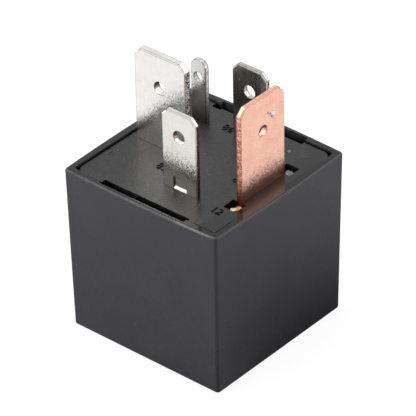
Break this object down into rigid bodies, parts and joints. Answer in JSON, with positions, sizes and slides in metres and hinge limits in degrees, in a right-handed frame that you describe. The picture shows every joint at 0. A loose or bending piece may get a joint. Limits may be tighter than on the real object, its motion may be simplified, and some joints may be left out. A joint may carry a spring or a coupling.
{
  "type": "automotive relay",
  "caption": "Plug-in automotive relay: square dark plastic case with large, medium and narrow flat blades on its base, and the coil, armature and contacts inside.",
  "frame": {"origin": "centre of the case's closed end, on the surface it stands on", "axes": "+Z from the closed end of the case towards the blade tips, -Y towards the front coil blade, +X towards the bare copper blade"},
  "size_m": [0.029, 0.029, 0.0424],
  "materials": {
    "case_plastic": "fine-textured moulded nylon, matt charcoal",
    "base_plastic": "moulded glass-filled nylon, satin charcoal",
    "tinned_blade": "tin-plated copper alloy, satin, bare reddish sheared edges",
    "bare_copper": "bare rolled copper, lightly scuffed",
    "plated_steel": "zinc-plated soft iron",
    "bobbin_plastic": "natural moulded polyester",
    "enamelled_wire": "enamelled copper wire",
    "winding_tape": "amber polyester tape",
    "spring_bronze": "rolled spring bronze",
    "contact_silver": "silver alloy, satin",
    "rivet_brass": "brass rivets",
    "resistor_ceramic": "lacquered film resistor"
  },
  "bodies": {
    "housing": {"case": "case_plastic", "base": "base_plastic", "common_blade": "tinned_blade", "common_blade_rivets": "rivet_brass", "open_blade": "bare_copper", "open_contact": "contact_silver", "closed_blade": "tinned_blade", "closed_contact": "contact_silver", "coil_blade_front": "tinned_blade", "coil_blade_back": "tinned_blade", "yoke": "plated_steel", "core": "plated_steel", "bobbin": "bobbin_plastic", "coil_winding": "enamelled_wire", "winding_tape": "winding_tape", "coil_lead_front": "enamelled_wire", "coil_lead_back": "enamelled_wire", "resistor": "resistor_ceramic", "resistor_leads": "tinned_blade", "return_spring": "spring_bronze", "return_spring_rivets": "rivet_brass", "braid": "bare_copper"},
    "armature_group": {"armature": "plated_steel", "contact_spring": "spring_bronze", "armature_rivets": "rivet_brass", "moving_contact": "contact_silver"}
  },
  "joints": [
    {"name": "armature_hinge", "type": "hinge", "parent": "housing", "child": "armature_group", "pos_m": [-0.01125, 0, 0.0064], "axis": [0, -1, 0], "range_deg": [0, 2.4], "stiffness_Nm_per_rad": 0.05, "springref_deg": -5.73, "deforming": ["return_spring", "braid"]}
  ]
}
